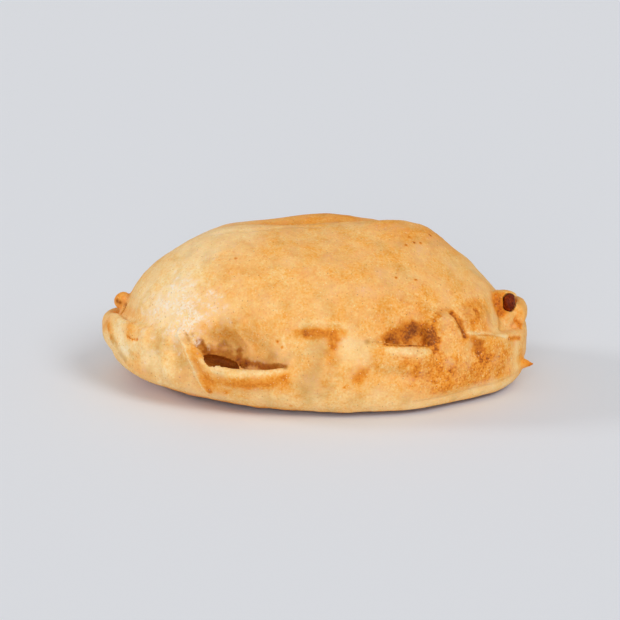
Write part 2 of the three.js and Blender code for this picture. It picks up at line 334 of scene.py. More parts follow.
def flap(name, sizes):
    bm = bmesh.new()
    bmesh.ops.create_cube(bm, size=1)
    bmesh.ops.subdivide_edges(bm, edges=bm.edges, cuts=39, use_grid_fill=True)
    return reshaped(bm, lambda p: flap_point(p, **sizes), name)


def knob(name, centre, half_size, tilt, taper=0.0, grow=0.0):
    bm = bmesh.new()
    bmesh.ops.create_icosphere(bm, subdivisions=4, radius=1)
    for vertex in bm.verts:
        vertex.co.yz *= 1 - taper * vertex.co.x
    size = Vector(half_size) + Vector((grow, grow, grow))
    turned = Matrix.Rotation(math.radians(tilt), 4, "Y")
    matrix = Matrix.Translation(centre) @ turned @ Matrix.Diagonal((*size, 1))
    bmesh.ops.transform(bm, matrix=matrix, verts=bm.verts)
    return reshaped(bm, lambda p: p, name)


def collected(name, objects):
    """A collection that holds the objects, for a Boolean modifier."""
    made = bpy.data.collections.new(name)
    for each in objects:
        made.objects.link(each)
    return made


added = collected(
    "joined to the dough",
    [flap(name, sizes) for name, sizes in FLAPS.items()]
    + [knob(name, *sizes) for name, sizes in KNOBS.items()],
)
SOCKET_GAP = 0.3
cut = collected(
    "cut from the dough",
    [flap(name, sizes) for name, sizes in SLOTS.items()]
    + [knob(name, *sizes) for name, sizes in MOUTHS.items()]
    + [knob("socket of the bead", BEAD["centre"], BEAD["half_size"], BEAD["tilt"], grow=SOCKET_GAP)],
)

# %% [markdown]
# ## One skin
#
# A Remesh modifier rebuilds the joined solid as one skin of even small faces, so that every fold flows into
# the next as dough does. The voxel is the smallest that keeps the piece within 200,000 triangles.

# %% Join, cut, rebuild and thin
VOXEL = 0.66
KEPT_SHARE = 0.54
BOARD = {"length": 240, "width": 160, "thickness": 20}


def board():
    """The flat board that the dough rested on, which cuts the underside."""
    bm = bmesh.new()
    bmesh.ops.create_cube(bm, size=1)
    size = Matrix.Diagonal((BOARD["length"], BOARD["width"], BOARD["thickness"], 1))
    bmesh.ops.transform(bm, matrix=Matrix.Translation((0, 0, -BOARD["thickness"] / 2)) @ size, verts=bm.verts)
    return reshaped(bm, lambda p: p, "board")


def applied(made):
    """Applies the object's modifiers to its mesh."""
    shown = made.evaluated_get(bpy.context.evaluated_depsgraph_get())
    mesh = bpy.data.meshes.new_from_object(shown)
    made.modifiers.clear()
    made.data = mesh
    return mesh


def values_of(items, name, width):
    """One numpy row of width numbers for each item of a mesh's list."""
    read = np.empty(len(items) * width, np.float32)
    items.foreach_get(name, read)
    return read.reshape(-1, width).astype(float)


cut.objects.link(board())
for operation, collection in (("UNION", added), ("DIFFERENCE", cut)):
    boolean = dough.modifiers.new(operation.lower(), "BOOLEAN")
    boolean.operation = operation
    boolean.operand_type = "COLLECTION"
    boolean.collection = collection
    boolean.solver = "MANIFOLD"
remesh = dough.modifiers.new("one skin", "REMESH")
remesh.mode = "VOXEL"
remesh.voxel_size = VOXEL
smooth = dough.modifiers.new("smooth", "SMOOTH")
smooth.iterations = 2
skin = applied(dough)
for each in [*added.objects, *cut.objects]:
    bpy.data.objects.remove(each)
print("the joined skin has", len(skin.polygons), "faces")

# %% Edges that the oven melted into the wall, as azimuth, height and reach in millimetres
MELTED = [
    (-162, 34, 5), (-156, 34, 7), (-149, 35, 7), (-145, 37, 5),
    (-99, 38, 4), (-98, 30, 5), (-98, 22, 5), (-76, 34, 5), (-74, 26, 6), (-75, 18, 6), (-69, 33, 4),
    (-46, 20, 6), (-45, 26, 4), (-34, 26, 5), (-33, 20, 6), (-98, 26, 3), (-17, 33, 5), (-15, 38, 4),
]


def weighted(name, shares):
    """A vertex group of the dough with a share for each vertex."""
    made = dough.vertex_groups.new(name=name)
    for tenth in range(1, 11):
        made.add(np.nonzero(np.round(shares * 10) == tenth)[0].tolist(), tenth / 10, "REPLACE")
    return made.name


place = values_of(skin.vertices, "co", 3)
soft = np.zeros(len(place))
for azimuth, height, reach in MELTED:
    middle = wall_point(np.array(azimuth), np.array(height), 2.0)
    soft = np.maximum(soft, bell(np.linalg.norm(place - middle, axis=1), reach))
melt = dough.modifiers.new("melt", "SMOOTH")
melt.iterations = 40
melt.vertex_group = weighted("melted", soft)

# The underside and the back need fewer faces than the crimped front.
spare = np.clip(0.9 * ease(place[:, 1], -5, 25) + ease(-place[:, 2], -3, 0), 0, 1)
thin = dough.modifiers.new("thin", "DECIMATE")
thin.ratio = KEPT_SHARE
thin.vertex_group = weighted("thinned", spare)
skin = applied(dough)
dough.vertex_groups.clear()
print("the thinned skin has", len(skin.loop_triangles), "triangles")

# %% [markdown]
# ## Marks of the oven and the hand
#
# Everything small on the crust is a mark: a crease, a pinched ridge, a hole, a scorched lip, a patch of
# flour. Each is a stroke through a few places of the skin, with a half width, and says what it does there:
# how far it lifts the dough, and how much browning, flour or dullness it adds. In creases, holes and
# hollows the browning and the dull tone are painted shade, and a pale line on some edges is a painted
# highlight. One table like this is easier to compare with the real crust than a separate brush for each.
# A place is an azimuth and a height on the wall, or an x and y on the top, and a ray finds the skin there;
# in the mouth and the creases, where no ray gets, it is x, y and z.

# %% Rays find the places on the skin
surface = BVHTree.FromObject(dough, bpy.context.evaluated_depsgraph_get())
OUTSIDE = 60


def on_wall(azimuth, height):
    """The skin at an azimuth and height, met level from outside."""
    outward = Vector((math.cos(math.radians(azimuth)), math.sin(math.radians(azimuth)), 0))
    return surface.ray_cast(Vector((0, 0, height)) + outward * (HALF_LENGTH + OUTSIDE), -outward)[0]


def on_top(x, y):
    """The skin under a point, met from above."""
    return surface.ray_cast(Vector((x, y, TOP_HEIGHT + OUTSIDE)), Vector((0, 0, -1)))[0]


def at(x, y, z):
    """A place inside a slot or a hollow, which no ray from outside would meet."""
    return Vector((x, y, z))


def stroke(finder, places, step=1.5):
    """Points of the skin, a step apart, along a path through the places, each with its share of the way."""
    found = []
    for index, (start, end) in enumerate(zip(places, [*places[1:], places[-1]])):
        length = (finder(*start) - finder(*end)).length
        pieces = max(1, math.ceil(length / step))
        for piece in range(pieces if index < len(places) - 1 else 1):
            share = piece / pieces
            found.append((*finder(*(mix(a, b, share) for a, b in zip(start, end))), index + share))
    return np.array(found)


# %% Noise of several sizes, sampled once at every vertex
place = values_of(skin.vertices, "co", 3)
outward = values_of(skin.vertex_normals, "vector", 3)


SEED_STEP = 37.7


def rough_field(size, octaves, seed):
    """Noise between about -1 and 1, with lumps of a size in millimetres."""
    scaled = place / size + SEED_STEP * seed
    return np.array([noise.fractal(Vector(p), 1.0, 2.0, octaves) for p in scaled])


lumps = rough_field(13, 2, seed=1)
dimples = rough_field(5, 2, seed=2)
grains = rough_field(1.7, 2, seed=3)
wobble = rough_field(3.2, 3, seed=4)
print("noise spans", [round(float(n), 2) for n in (lumps.min(), lumps.max(), grains.min(), grains.max())])


# %% What a mark does to the crust
EDGE = 0.5
# A ragged edge strays as far as this many half widths.
STRAYS = 2.2
# The brown and dull layers carry painted shade too, in creases, holes, hollows and the mouth, and a negative
# brown paints highlights on some edges and painted light on the paler foot and left end.
layers = {name: np.zeros(len(place)) for name in ("lift", "brown_and_painted_light", "flour", "painted_shade_and_dull", "coarse")}


def mark(finder, places, width, crisp=0.0, ragged=0.25, step=0.0, **effects):
    """Adds a stroke's effects to the layers. The width is the half width, or one for each place.

    A step lifts the dough on the right-hand side of the stroke alone, as an overlapping sheet does.
    """
    path = stroke(finder, places)
    widths = np.interp(path[:, 3], range(len(places)), np.broadcast_to(width, len(places)))
    reach = STRAYS * widths.max()
    low, high = path[:, :3].min(0) - reach, path[:, :3].max(0) + reach
    near = np.nonzero(((place > low) & (place < high)).all(1))[0]
    away = np.linalg.norm(place[near, None] - path[None, :, :3], axis=2) / widths
    nearest = away.argmin(1)
    away = away.min(1) * (1 + ragged * wobble[near])
    share = 1 - ease(away, crisp, 2 - crisp)
    if step:
        along_it = np.gradient(path[:, :3], axis=0)[nearest]
        across = np.cross(along_it, outward[near])
        across /= np.linalg.norm(across, axis=1)[:, None]
        side = ((place[near] - path[nearest, :3]) * across).sum(1)
        layers["lift"][near] += step * ease(side, -EDGE, EDGE) * share
    for name, amount in effects.items():
        layers[name][near] += amount * share
    return len(near)


# %% The broad tones of the crust
# Where the oven was hot, the crust is gold; the sheltered left end stayed pale and floury. Low on the left
# end and along the foot, the paleness is partly paler dough and partly painted light.
TOP_TONES = [
    dict(places=[(-70, 0), (-60, -24)], width=(16, 14), brown_and_painted_light=-0.12),
    dict(places=[(-45, 30), (-45, -5)], width=16, brown_and_painted_light=-0.14, flour=0.14),
    dict(places=[(-40, 14), (-16, 15), (2, 18), (14, 18), (28, 14)], width=(5, 7, 8, 8, 7), brown_and_painted_light=0.16),
    dict(places=[(32, -4), (44, -5), (55, 2)], width=(8, 9, 7), brown_and_painted_light=0.12),
    dict(places=[(34, -28), (20, -40)], width=12, brown_and_painted_light=0.02),
    dict(places=[(12, -26), (0, -25)], width=5, brown_and_painted_light=0.05),
    dict(places=[(68, 4), (74, -5), (63, -14)], width=(8, 7, 6), brown_and_painted_light=-0.06, coarse=-0.5),
]
WALL_TONES = [
    dict(places=[(-170, 40), (-155, 50), (-150, 40)], width=10, brown_and_painted_light=-0.12),
    # the left end low down: paler dough, painted paler still as painted light
    dict(places=[(-172, 20), (-147, 22)], width=10, brown_and_painted_light=-0.2),
    dict(places=[(-52, 24), (-45, 17), (-38, 16), (-30, 18), (-22, 18)], width=8, brown_and_painted_light=0.16, coarse=1.2),
    dict(places=[(-45, 38), (-36, 38), (-25, 38)], width=8, brown_and_painted_light=0.1, coarse=0.6),
    dict(places=[(-62, 30), (-60, 45), (-45, 48)], width=9, brown_and_painted_light=0.04, coarse=0.3),
    # the face of the middle tab: greyer dough and painted shade
    dict(places=[(-93, 30), (-90, 22), (-92, 15)], width=7, painted_shade_and_dull=0.3, brown_and_painted_light=-0.05),
    dict(places=[(-76.6, 37), (-76, 32), (-74.6, 27), (-71, 31)],
         width=(3.5, 5, 5, 4), brown_and_painted_light=-0.15, coarse=-0.4),
    dict(places=[(-51, 4.5), (-44, 5.5), (-36, 6), (-25, 6.5), (-17, 5)],
         width=3.5, brown_and_painted_light=-0.18, coarse=-1.0),
    dict(places=[(-15.7, 22), (-15.4, 18), (-15.2, 13)], width=2.8, brown_and_painted_light=-0.13, coarse=-0.8),
    # the foot of the wall: paler dough, and painted light where the lamps leave it dark
    dict(places=[(-150, 7), (-120, 6), (-90, 7), (-60, 5)], width=6, brown_and_painted_light=-0.14),
]

# %% Creases, ridges and holes
TOP_MARKS = [
    # the long crease in front of the back ridge, and the short one at the left
    dict(places=[(-48, 2), (-44, -0.6), (-31, -3.6), (-22, -4), (-9, -0.5),
                 (1, -1), (10, 3.5), (18, 3), (24, 1.5)],
         width=1.4, lift=-0.35),
    dict(places=[(-47.5, -20), (-43, -19.4), (-35, -22)], width=1, lift=-0.3),
    # the line down from the notch, where the smooth right lobe begins
    dict(places=[(60, -5), (59, -14), (56, -28)], width=2.4, step=-0.4),
]
# the edge of the folded sheet at the left, and the lip of the left flap
FOLD = [
    (-144.6, 36), (-144, 34), (-141.8, 31.6), (-139.4, 29.8), (-137.8, 26), (-136.4, 20.7), (-134.6, 15.9),
    (-133.4, 11),
]
LEFT_LIP = [
    (-133, 25.6), (-130, 23.8), (-127.5, 22.7), (-123.8, 22.2), (-118.5, 22), (-111, 22.6), (-103.2, 22.8),
]
WALL_MARKS = [
    # left tip: the groove under the knob and two small pinches, darkened with painted shade, the browned rim,
    # two scorched spots and the pale band between them
    dict(places=[(-181, 34.2), (-178.6, 31.8), (-177.4, 30.2)], width=0.9, lift=-0.6, brown_and_painted_light=0.16, painted_shade_and_dull=0.9),
    dict(places=[(-178, 31), (-174.4, 32.8), (-169.5, 34)], width=1.9, brown_and_painted_light=0.17),
    dict(places=[(-173, 28), (-170, 26.2), (-168.4, 24.8)],
         width=(2.6, 2.4, 1.8), ragged=0.5, lift=0.6, brown_and_painted_light=0.26),
    dict(places=[(-171.4, 27.6), (-170.4, 26)], width=1.3, ragged=0.6, brown_and_painted_light=0.2),
    dict(places=[(-176.4, 24.6), (-174.6, 27.6)], width=1.6, ragged=0.4, brown_and_painted_light=0.24),
    dict(places=[(-167.7, 24.4), (-165.3, 23)], width=1.4, ragged=0.5, brown_and_painted_light=0.08, painted_shade_and_dull=0.5),
    dict(places=[(-167, 31.4), (-163.6, 26.6), (-161.8, 21.4)], width=2.2, lift=-0.4, brown_and_painted_light=-0.14),
    dict(places=[(-161.6, 32.4), (-160, 29)], width=2.3, ragged=0.4, lift=0.5, brown_and_painted_light=0.2),
    dict(places=[(-156.8, 31), (-154, 30.2)], width=3, ragged=0.4, brown_and_painted_light=0.1),
    dict(places=[(-160.6, 27.9), (-158.8, 27.3), (-157.2, 27.8)],
         width=0.6, crisp=0.3, ragged=0.6, brown_and_painted_light=0.5, lift=-0.4),
    dict(places=[(-157.2, 20.4), (-155.8, 19.1)], width=2, ragged=0.6, brown_and_painted_light=0.14),
    dict(places=[(-164, 17.6), (-162.8, 16.8)], width=1.8, ragged=0.5, painted_shade_and_dull=0.5, brown_and_painted_light=0.08),
    dict(places=[(-160, 15.2), (-155.3, 15), (-151.4, 13.8)], width=2.4, ragged=0.6, brown_and_painted_light=0.15),
    dict(places=[(-151, 31.4), (-148.2, 33), (-147.5, 29)], width=3.4, ragged=0.5, brown_and_painted_light=0.07, painted_shade_and_dull=0.15),
    # left end: the dough is drawn up in faint vertical pleats, then dips before the folded edge; painted
    # shade darkens the dip and the furrows, and a painted highlight runs along the folded edge
    dict(places=[(-155, 32), (-153, 20), (-150, 11)], width=1.8, lift=0.45, brown_and_painted_light=-0.04),
    dict(places=[(-150.5, 30), (-148.5, 20), (-146, 11)], width=1.5, lift=-0.5, painted_shade_and_dull=0.1),
    dict(places=[(-148, 28), (-146, 19), (-143, 11)], width=1.4, lift=0.4),
    dict(places=[(-143.6, 29), (-142, 25), (-141, 21.3), (-139.4, 17)],
         width=2.6, lift=-0.9, brown_and_painted_light=0.06, painted_shade_and_dull=0.35),
    dict(places=FOLD, width=3, step=-0.7),
    dict(places=FOLD, width=0.75, crisp=0.3, lift=0.3, brown_and_painted_light=-0.24),
    dict(places=[(-136, 29), (-134, 23.6), (-132.6, 17), (-131.4, 13)],
         width=(1.8, 2.6, 2.8, 2.4), ragged=0.4, brown_and_painted_light=0.2),
    dict(places=[(-131.5, 11.3)], width=1.2, crisp=0.2, ragged=0.5, brown_and_painted_light=0.34),
    dict(places=[(-128.5, 11.4), (-124.6, 11.6)], width=1.5, ragged=0.6, brown_and_painted_light=0.16),
    dict(places=[(-125.7, 11.2)], width=0.8, ragged=0.5, brown_and_painted_light=0.25),
    # the hollow over the left flap, darkened with painted shade, with a slanting fold of dough across it and
    # a painted highlight on the fold's edge
    dict(places=[(-131, 34), (-127.6, 36), (-125, 33), (-123.6, 30)],
         width=(4, 4.5, 4, 3), brown_and_painted_light=0.05, painted_shade_and_dull=0.35),
    dict(places=[(-129, 29), (-118, 28.6), (-111, 28)], width=(3, 4, 3), brown_and_painted_light=0.03, painted_shade_and_dull=0.3),
    dict(places=[(-127.5, 39), (-125.3, 37.5), (-122.1, 32), (-119.8, 27.6)], width=3.2, step=0.7),
    dict(places=[(-125, 37.9), (-121.7, 32.2), (-119.4, 28)], width=0.8, lift=0.25, brown_and_painted_light=-0.1),
    # left flap: a pale thick lip over a scorched band
    dict(places=LEFT_LIP, width=(1, 1.5, 1.9, 2, 1.9, 1.7, 1.3), crisp=0.3, brown_and_painted_light=-0.2),
    dict(places=[(-130.5, 17.4), (-124.4, 16.8), (-117, 17.2), (-109.8, 18), (-103.7, 19.4)],
         width=(2.6, 2.9, 3.0, 2.9, 2.6), crisp=0.35, ragged=0.35, brown_and_painted_light=0.19),
    dict(places=[(-123.4, 16.2), (-117.2, 16.2), (-111, 17.4), (-106.5, 18.2), (-103.7, 20)],
         width=1.2, ragged=0.8, brown_and_painted_light=0.08),
    dict(places=[(-108.6, 15.2), (-104.6, 14.4)], width=2, ragged=0.6, brown_and_painted_light=0.12),
    dict(places=[(-102.4, 20.6), (-102.4, 14)], width=1.8, ragged=0.6, brown_and_painted_light=0.12),
    dict(places=[(-98, 11.2)], width=1.8, ragged=0.6, brown_and_painted_light=0.14),
    # middle tab: a scorched top edge and right side, a painted highlight along its top, and painted shade in
    # a small spot to its right
    dict(places=[(-99.4, 37.4), (-96, 37.7)], width=(1.5, 1.9), crisp=0.3, brown_and_painted_light=0.2, painted_shade_and_dull=0.2),
    dict(places=[(-94, 38), (-88.8, 38.1), (-85, 38)], width=2.1, crisp=0.4, ragged=0.3, brown_and_painted_light=0.3),
    dict(places=[(-81.6, 37.8), (-78.6, 37.7)], width=2.1, crisp=0.4, brown_and_painted_light=0.24),
    dict(places=[(-84, 34.6), (-83.2, 33.6)], width=2.2, crisp=0.2, ragged=0.5, brown_and_painted_light=0.2),
    dict(places=[(-84, 31.5), (-84.4, 28)], width=2.6, ragged=0.6, brown_and_painted_light=0.18),
    dict(places=[(-98, 41), (-90, 41.8), (-80, 41.2)], width=1.1, brown_and_painted_light=-0.1),
    dict(places=[(-105.1, 36), (-105, 31)], width=0.7, brown_and_painted_light=-0.16, lift=0.15),
    dict(places=[(-72.4, 21.8), (-74.4, 18.6)], width=(2.8, 2.6), ragged=0.6, brown_and_painted_light=0.3),
    dict(places=[(-69.3, 34.5)], width=1.2, crisp=0.2, painted_shade_and_dull=0.7, brown_and_painted_light=0.08),
    # right flap: a pale lip under a scorched hollow, with painted shade in the hollow
    dict(places=[(-60, 34.6), (-57, 34.8), (-53, 35.2), (-49, 36.0), (-46, 35.6)],
         width=(2.2, 3.0, 3.6, 4.1, 3.4), crisp=0.2, ragged=0.4, brown_and_painted_light=0.26, painted_shade_and_dull=0.25),
    dict(places=[(-49.6, 36.4), (-49.9, 34)], width=2.2, ragged=0.6, brown_and_painted_light=0.12, painted_shade_and_dull=0.2),
    dict(places=[(-46.8, 36.2), (-44.8, 36.6)], width=2.6, ragged=0.6, brown_and_painted_light=0.16, painted_shade_and_dull=0.2),
    dict(places=[(-56.5, 33.6), (-53.5, 33.6), (-50.5, 33.6)], width=2.0, ragged=0.4, brown_and_painted_light=0.13, painted_shade_and_dull=0.3),
    dict(places=[(-62.6, 31.4), (-59.4, 30.9), (-55.6, 30.2), (-51.6, 29.5), (-47.6, 29.2)],
         width=(1.2, 1.7, 1.9, 1.8, 1.2), crisp=0.35, brown_and_painted_light=-0.22, coarse=-0.4),
    dict(places=[(-62.7, 33.3)], width=0.8, crisp=0.3, brown_and_painted_light=0.4),
    # right tuck: outlined in brown, with a deep crease at its right that painted shade darkens, a painted
    # highlight on the crease's edge and painted shade along its top
    dict(places=[(-44.9, 34.8), (-45, 31.9), (-45, 28.8)],
         width=(1.8, 2.0, 1.2), crisp=0.2, ragged=0.4, lift=-0.4, brown_and_painted_light=0.42),
    dict(places=[(-39.1, 42), (-40.6, 41.8), (-43, 39.7), (-44.6, 38)],
         width=0.8, ragged=0.4, lift=-0.3, brown_and_painted_light=0.26),
    dict(places=[(-38.4, 42.6), (-36, 43), (-33, 42.4)], width=1.0, brown_and_painted_light=0.12, painted_shade_and_dull=0.2),
    dict(places=[(-33.4, 41.4), (-33.2, 38), (-33.2, 34.8), (-33.6, 32.8)],
         width=(1.1, 1.7, 1.8, 1.3), crisp=0.3, lift=-1.3, brown_and_painted_light=0.62, painted_shade_and_dull=0.4),
    dict(places=[(-31, 40.7), (-31.2, 35.6)], width=0.8, lift=0.4, brown_and_painted_light=-0.1),
    dict(places=[(-33.6, 31.8)], width=1.6, ragged=0.5, brown_and_painted_light=0.14),
    # the swirl of dough beside it
    dict(places=[(-24.5, 38)], width=5.5, lift=0.8, brown_and_painted_light=0.08),
    dict(places=[(-27, 43), (-22, 43.3), (-18.6, 41), (-17.6, 37), (-19.5, 33.8), (-24, 32.8)],
         width=1.5, ragged=0.6, lift=-0.5, brown_and_painted_light=0.1),
    dict(places=[(-24, 40), (-25, 37.5), (-26.6, 36.2)], width=1.1, ragged=0.5, lift=-0.4, brown_and_painted_light=0.18),
    dict(places=[(-28, 36.8), (-28.3, 33.8)], width=1, ragged=0.5, lift=-0.3, brown_and_painted_light=0.16),
    # right end: a pale edge round a cup, a scorched dent under it and a standing flap with a slit; painted
    # shade darkens the groove beside the cup and the wedge-shaped dent at the left
    dict(places=[(-32, 33.4), (-28, 32), (-24.9, 31), (-21.4, 28.9), (-18.6, 27.7)],
         width=1.0, crisp=0.3, brown_and_painted_light=-0.2),
    dict(places=[(-32, 32.6), (-26.6, 30.6), (-20.7, 28)], width=2.4, step=0.5),
    dict(places=[(-17.6, 36), (-18.6, 32.2), (-19.5, 29.6)], width=3.6, brown_and_painted_light=-0.14, coarse=-1.0, painted_shade_and_dull=0.15),
    dict(places=[(-11.6, 35), (-14, 32), (-17, 29.6)], width=0.9, lift=-0.5, brown_and_painted_light=0.06, painted_shade_and_dull=0.5),
    dict(places=[(-30.8, 29.8), (-29.8, 27)],
         width=(1.7, 2.5), crisp=0.3, ragged=0.5, lift=-0.8, brown_and_painted_light=0.26, painted_shade_and_dull=0.25, coarse=-0.6),
    dict(places=[(-29.6, 26), (-27.6, 24.8)], width=2.5, ragged=0.5, brown_and_painted_light=0.12, coarse=-0.3),
    dict(places=[(-29.2, 24), (-29.2, 21.3)], width=2.2, ragged=0.7, brown_and_painted_light=0.14),
    dict(places=[(-17.9, 26.3), (-15, 25.2), (-12.9, 24.3)], width=1.0, crisp=0.2, lift=-0.6, brown_and_painted_light=0.36),
    dict(places=[(-16.6, 23)], width=1.2, ragged=0.5, brown_and_painted_light=0.16),
    dict(places=[(-6.5, 37), (-8, 32), (-9.2, 28)], width=3, ragged=0.4, brown_and_painted_light=0.08, coarse=-0.5),
    dict(places=[(-9.8, 31), (-9.2, 29.2), (-8.8, 27.5)], width=0.9, lift=-0.6, brown_and_painted_light=0.32),
    dict(places=[(-12, 14), (-12, 12)], width=3.4, brown_and_painted_light=0.24),
    # lower right: coarse scorched patches over a smooth band
    dict(places=[(-53.1, 22.8), (-53, 21)], width=2.4, ragged=0.5, brown_and_painted_light=0.12, coarse=-0.5),
    dict(places=[(-44.9, 22), (-44.4, 16.8), (-45.2, 11)],
         width=(3.6, 4.2, 3.6), ragged=0.7, brown_and_painted_light=0.12, coarse=0.4),
    dict(places=[(-28.9, 22), (-29.3, 15.8), (-28.4, 12)], width=3.6, ragged=0.7, brown_and_painted_light=0.13, coarse=0.4),
    dict(places=[(-22.8, 13.8)], width=2.0, ragged=0.6, brown_and_painted_light=0.16),
    dict(places=[(-51.3, 7), (-42.6, 7.3), (-31.7, 8.2), (-21.5, 8.4), (-15.6, 9)], width=2.2, step=-0.4),
]
FLOUR_MARKS = [
    dict(places=[(-156, 40.5), (-151, 43.8), (-146, 42), (-142.6, 38.8), (-146, 35.3)],
         width=(7, 7.5, 6.5, 5, 4.5), ragged=0.9, flour=0.46),
    dict(places=[(-150, 48), (-138, 46)], width=6, ragged=0.9, flour=0.2),
    dict(places=[(-138.6, 32.4)], width=1.8, ragged=0.5, flour=0.35),
]
# Marks at places that a level ray would miss, as x, y and z.
DEEP_MARKS = [
    # the scorched knob at the left tip, and two holes torn beside the folded edge, darkened inside with
    # painted shade and with a painted highlight on one rim
    dict(places=[(-88, 3, 36), (-86, 6, 36.4)], width=3.2, ragged=0.4, brown_and_painted_light=0.24),
    dict(places=[(-57, -42, 34), (-55.6, -42.6, 33.2)],
         width=0.8, crisp=0.2, ragged=0.6, lift=-0.7, brown_and_painted_light=0.2, painted_shade_and_dull=0.9),
    dict(places=[(-55.4, -43.4, 32.4), (-54.8, -44.2, 31.2)],
         width=0.9, crisp=0.2, ragged=0.6, lift=-1.0, brown_and_painted_light=0.3, painted_shade_and_dull=0.9),
    dict(places=[(-52.8, -43.6, 34)], width=0.7, crisp=0.2, ragged=0.5, lift=-0.5, brown_and_painted_light=0.26, painted_shade_and_dull=0.8),
    dict(places=[(-49.6, -46, 30.4), (-48, -46.8, 28.2)],
         width=(1.7, 1.3), crisp=0.4, lift=-1.5, brown_and_painted_light=0.22, painted_shade_and_dull=0.9),
    dict(places=[(-47.6, -46.6, 31), (-46.4, -46.8, 29.2), (-47, -47.4, 27.6)],
         width=0.7, lift=0.35, brown_and_painted_light=-0.16),
    # the mouth, the crease beside it and the shade over them, all painted shade, then painted shade in the
    # crease behind the right flap and the scorched right tip
    dict(places=[(-46.5, -44.5, 24), (-42, -43.2, 22), (-36, -44, 21)],
         width=4.2, crisp=0.6, ragged=0.1, brown_and_painted_light=0.36, painted_shade_and_dull=1.0),
    dict(places=[(-47, -48.5, 27.6), (-43.5, -47.6, 27.2), (-39, -48.4, 26.2), (-34, -50, 24.4)],
         width=(1.5, 3.0, 2.8, 1.6), ragged=0.7, brown_and_painted_light=0.22, painted_shade_and_dull=0.9),
    dict(places=[(-33.4, -50.6, 24.6), (-30.5, -51, 23.8)], width=1.6, ragged=0.6, brown_and_painted_light=0.36, painted_shade_and_dull=1.0),
    dict(places=[(-30, -51, 24.6), (-23, -53, 24.8), (-19, -53.6, 24.6), (-14, -56, 24.8)],
         width=2.4, ragged=0.4, brown_and_painted_light=0.02, painted_shade_and_dull=0.5),
    dict(places=[(-30, -51.2, 23.6), (-23, -53.8, 23.2), (-19, -54.2, 22.9), (-13.4, -56.8, 23.8)],
         width=(1.0, 1.2, 1.2, 0.8), ragged=0.3, brown_and_painted_light=0.36, painted_shade_and_dull=1.0),
    dict(places=[(31, -51.5, 34), (36, -50.5, 33.6), (42, -48.5, 33.4), (47, -47.5, 33)],
         width=2.3, brown_and_painted_light=0.22, painted_shade_and_dull=0.4),
    dict(places=[(29.5, -55.6, 33.7), (35, -54.4, 33.2), (43, -51.8, 32.1), (48, -48.6, 31.3)],
         width=0.9, crisp=0.3, brown_and_painted_light=0.5, painted_shade_and_dull=0.6),
    dict(places=[(79.5, -15, 41.6), (78.4, -15.5, 39), (80, -16, 36.2)], width=2.9, ragged=0.3, brown_and_painted_light=0.42),
    dict(places=[(80.6, -16.6, 34.4), (81, -17, 33)], width=1.2, brown_and_painted_light=0.2),
    dict(places=[(95.5, -19.8, 11.2)], width=2.0, brown_and_painted_light=0.4),
]
WALL_SPECKS = [(-107.8, 33.7), (-105.5, 31.6), (-79.2, 15.7), (-101.3, 6), (-41.1, 19.4)]
TOP_SPECKS = [
    (40, -10), (42.2, -12.8), (45.1, -11.7), (38.4, -16), (49.5, -3.5), (33.5, -34), (42, -32.7),
    (-35, -24.5),
]
SPECK = dict(width=0.55, crisp=0.2, brown_and_painted_light=0.5)

# %% Put the marks on
for finder, marks in (
    (on_top, TOP_TONES + TOP_MARKS),
    (on_wall, WALL_TONES + WALL_MARKS + FLOUR_MARKS),
    (at, DEEP_MARKS),
):
    for each in marks:
        mark(finder, **each)
for finder, specks in ((on_wall, WALL_SPECKS), (on_top, TOP_SPECKS)):
    for speck in specks:
        mark(finder, [speck], **SPECK)
print({name: [round(float(v), 2) for v in (layer.min(), layer.max())] for name, layer in layers.items()})

# %% [markdown]
# ## Relief
#
# The marks already say how far they lift the dough. Three sizes of noise add what they leave out: the slow
# lumps of a hand-stretched sheet, dimples where gas broke through, and the grain of the flour it was rolled
# in, which is rougher where the layer called coarse says so. Every vertex moves along its normal, then the
# underside is pressed flat again and the pocket goes to its place in the frame.

# %% Move the vertices
LUMP, DIMPLE, GRAIN = 0.45, 0.28, 0.07
BASE_COARSENESS, COARSENESS_SPAN = 0.5, (0.15, 1.6)
PRESSED_FLAT = (0.2, 3)

coarse = np.clip(BASE_COARSENESS + layers["coarse"], *COARSENESS_SPAN)
dimpled, grained = np.clip(coarse, 0.3, 2), 0.6 + coarse
lift = layers["lift"] + LUMP * lumps + DIMPLE * dimples * dimpled + GRAIN * grains * grained
above_board = ease(place[:, 2], *PRESSED_FLAT)
moved = place + outward * (lift * above_board)[:, None]
moved[:, 2] = np.maximum(moved[:, 2], 0)
skin.vertices.foreach_set("co", (moved * MM + np.array(INTO_FRAME)).astype(np.float32).ravel())
skin.update()

# %% Keep the colour layers on the vertices
BASE_TONE, SCORCH, PAST_SCORCH = 0.48, 0.82, 0.4
# How far a face looks down, from 0 to 1, where scorching and charring, with the painted shade they carry,
# begin and where they are full.
SCORCHED_AND_SHADED_FACING, CHARRED_AND_SHADED_FACING = (0.72, 0.97), (0.5, 0.75)
CHARRED_AND_SHADED_HEIGHT = 2.8


def keep_layer(name, values):
    """Stores a value for each vertex, for the material to read."""
    layer = skin.attributes.new(name, "FLOAT", "POINT")
    layer.data.foreach_set("value", values.astype(np.float32))


# The underside lay on the hot stone, so it is scorched in patches; the same darkening is painted shade for
# the gap under the crust.
faces_down = ease(-outward[:, 2], *SCORCHED_AND_SHADED_FACING)
scorched_and_shaded = faces_down * (0.36 + 0.12 * lumps + 0.1 * dimples)
browning_and_painted_light = BASE_TONE + layers["brown_and_painted_light"] * (1 - faces_down) + scorched_and_shaded + 0.05 * lumps + 0.04 * dimples
# Where marks overlap, the dough browns only a little further than one mark does.
browning_and_painted_light = np.where(browning_and_painted_light > SCORCH, SCORCH + (browning_and_painted_light - SCORCH) * PAST_SCORCH, browning_and_painted_light)
